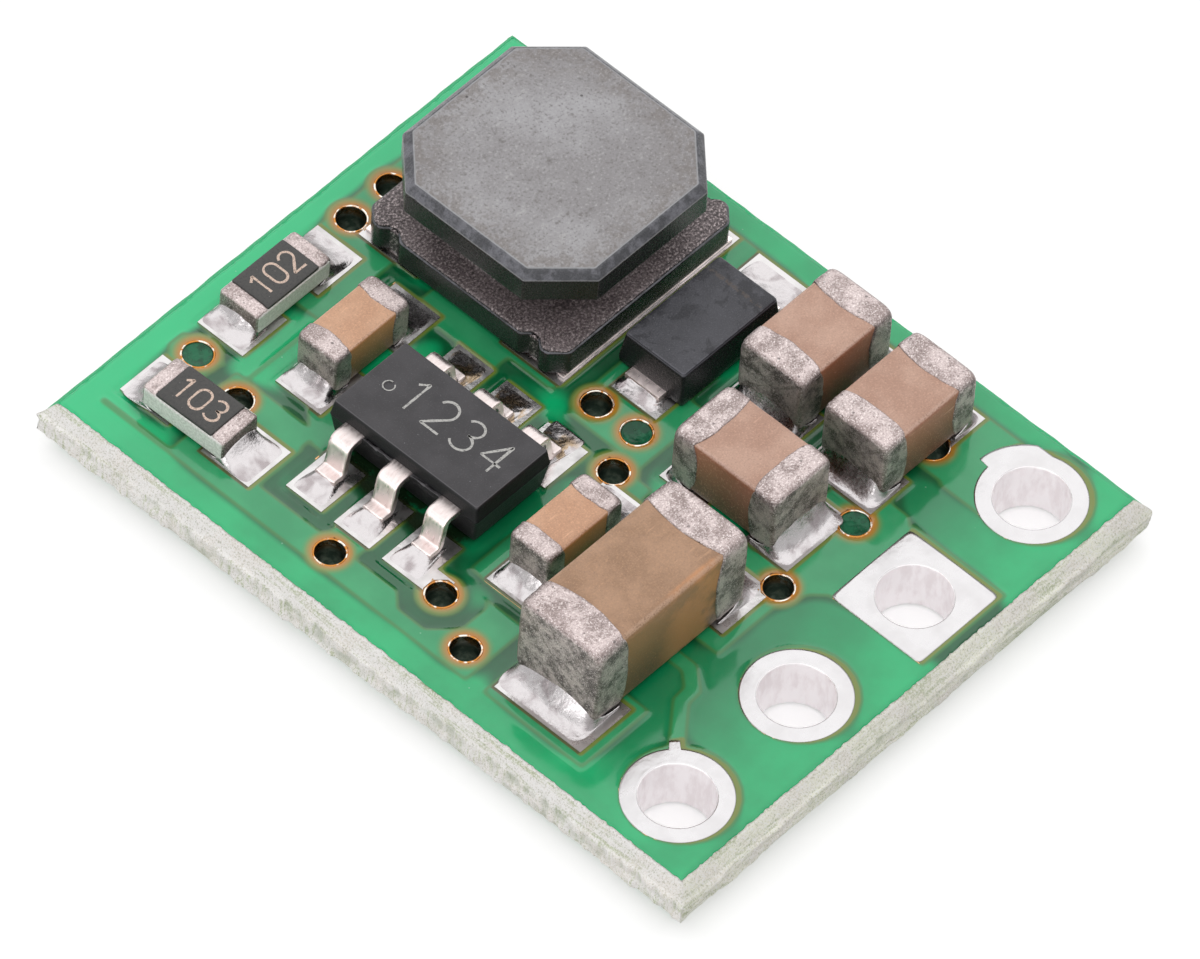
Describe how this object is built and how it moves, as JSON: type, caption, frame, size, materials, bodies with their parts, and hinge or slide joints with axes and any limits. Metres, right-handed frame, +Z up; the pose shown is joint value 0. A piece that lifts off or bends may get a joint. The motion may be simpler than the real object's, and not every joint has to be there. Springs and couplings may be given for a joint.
{
  "type": "buck converter module",
  "caption": "Small step-down DC power board: a row of plated pin holes, a moulded regulator, a drum inductor, a diode, ceramic capacitors and chip resistors on green lacquer.",
  "frame": {"origin": "under the middle of the board, on the plane that its underside rests on", "axes": "+X along the row of pin holes, +Y from that row towards the inductor, +Z up through the parts"},
  "size_m": [0.0102, 0.0128, 0.0028],
  "materials": {
    "board_core": "glass-fibre laminate, matte, broken edges",
    "copper": "bare copper under the lacquer",
    "solder_mask": "glossy green lacquer",
    "tin": "bright reflowed tin",
    "plug": "green filler in a covered via",
    "capacitor_ceramic": "fired tan-brown ceramic",
    "chip_metal": "tinned end metal, finely speckled",
    "solder": "bright solder",
    "resistor_ceramic": "white alumina",
    "resistor_coat": "black glaze",
    "mould": "moulded epoxy, satin",
    "lead_metal": "tin-plated lead frame",
    "silicon": "polished die",
    "ferrite": "ground ferrite, satin",
    "winding": "enamelled copper wire",
    "resin": "dark magnetic resin with bright grains"
  },
  "bodies": {
    "root": {"capacitor_by_regulator_block": "capacitor_ceramic", "capacitor_by_regulator_end_caps": "chip_metal", "capacitor_by_regulator_solder": "solder", "capacitor_front_right_block": "capacitor_ceramic", "capacitor_front_right_end_caps": "chip_metal", "capacitor_front_right_solder": "solder", "capacitor_large_block": "capacitor_ceramic", "capacitor_large_end_caps": "chip_metal", "capacitor_large_solder": "solder", "capacitor_middle_block": "capacitor_ceramic", "capacitor_middle_end_caps": "chip_metal", "capacitor_middle_solder": "solder", "capacitor_rear_right_block": "capacitor_ceramic", "capacitor_rear_right_end_caps": "chip_metal", "capacitor_rear_right_solder": "solder", "capacitor_upright_block": "capacitor_ceramic", "capacitor_upright_end_caps": "chip_metal", "capacitor_upright_solder": "solder", "copper_bottom": "copper", "copper_top": "copper", "diode_anode_tab": "lead_metal", "diode_case": "mould", "diode_cathode_tab": "lead_metal", "diode_die": "silicon", "diode_solder": "solder", "inductor_core": "ferrite", "inductor_resin": "resin", "inductor_solder": "solder", "inductor_terminal_back": "lead_metal", "inductor_terminal_front": "lead_metal", "inductor_winding": "winding", "laminate": "board_core", "land_tinning": "tin", "mask_bottom": "solder_mask", "mask_top": "solder_mask", "pin_hole_plating_1": "tin", "pin_hole_plating_2": "tin", "pin_hole_plating_3": "tin", "pin_hole_plating_4": "tin", "regulator_case": "mould", "regulator_die": "silicon", "regulator_lead_1": "lead_metal", "regulator_lead_2": "lead_metal", "regulator_lead_3": "lead_metal", "regulator_lead_4": "lead_metal", "regulator_lead_5": "lead_metal", "regulator_lead_6": "lead_metal", "regulator_solder": "solder", "resistor_left_ceramic": "resistor_ceramic", "resistor_left_coat": "resistor_coat", "resistor_left_end_caps": "chip_metal", "resistor_left_solder": "solder", "resistor_rear_ceramic": "resistor_ceramic", "resistor_rear_coat": "resistor_coat", "resistor_rear_end_caps": "chip_metal", "resistor_rear_solder": "solder", "via_barrels": "tin", "via_plugs": "plug"}
  },
  "joints": []
}
